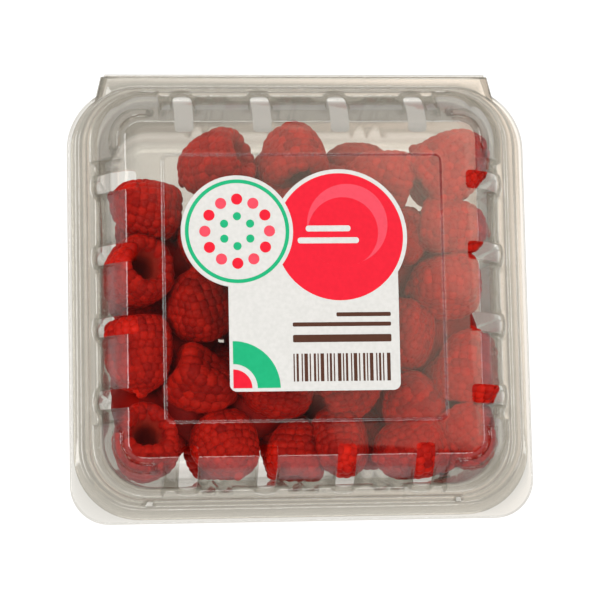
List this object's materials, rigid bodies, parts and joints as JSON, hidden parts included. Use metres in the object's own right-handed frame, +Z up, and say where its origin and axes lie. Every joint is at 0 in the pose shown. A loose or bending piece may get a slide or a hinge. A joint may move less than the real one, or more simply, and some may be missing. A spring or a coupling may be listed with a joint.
{
  "type": "raspberry punnet",
  "caption": "Clear hinged plastic punnet with vent slots, a raised ribbed lid and a paper label, holding a heap of raspberries.",
  "frame": {"origin": "centre of the box round the shut punnet, at the underside of the tray", "axes": "+Z up; -Y is the front, where the lid opens; +Y is the hinge fold; +X to the right seen from the front"},
  "size_m": [0.125, 0.1218, 0.043],
  "materials": {
    "clear_plastic": "clear gloss",
    "label_paper": "coated paper",
    "fruit": "soft fruit skin"
  },
  "bodies": {
    "tray": {"tray": "clear_plastic", "raspberries": "fruit"},
    "lid": {"lid": "clear_plastic", "label": "label_paper"}
  },
  "joints": [
    {"name": "lid_hinge", "type": "hinge", "parent": "tray", "child": "lid", "pos_m": [0, 0.06105, 0.02935], "axis": [-1, 0, 0], "range_deg": [0, 180]}
  ]
}
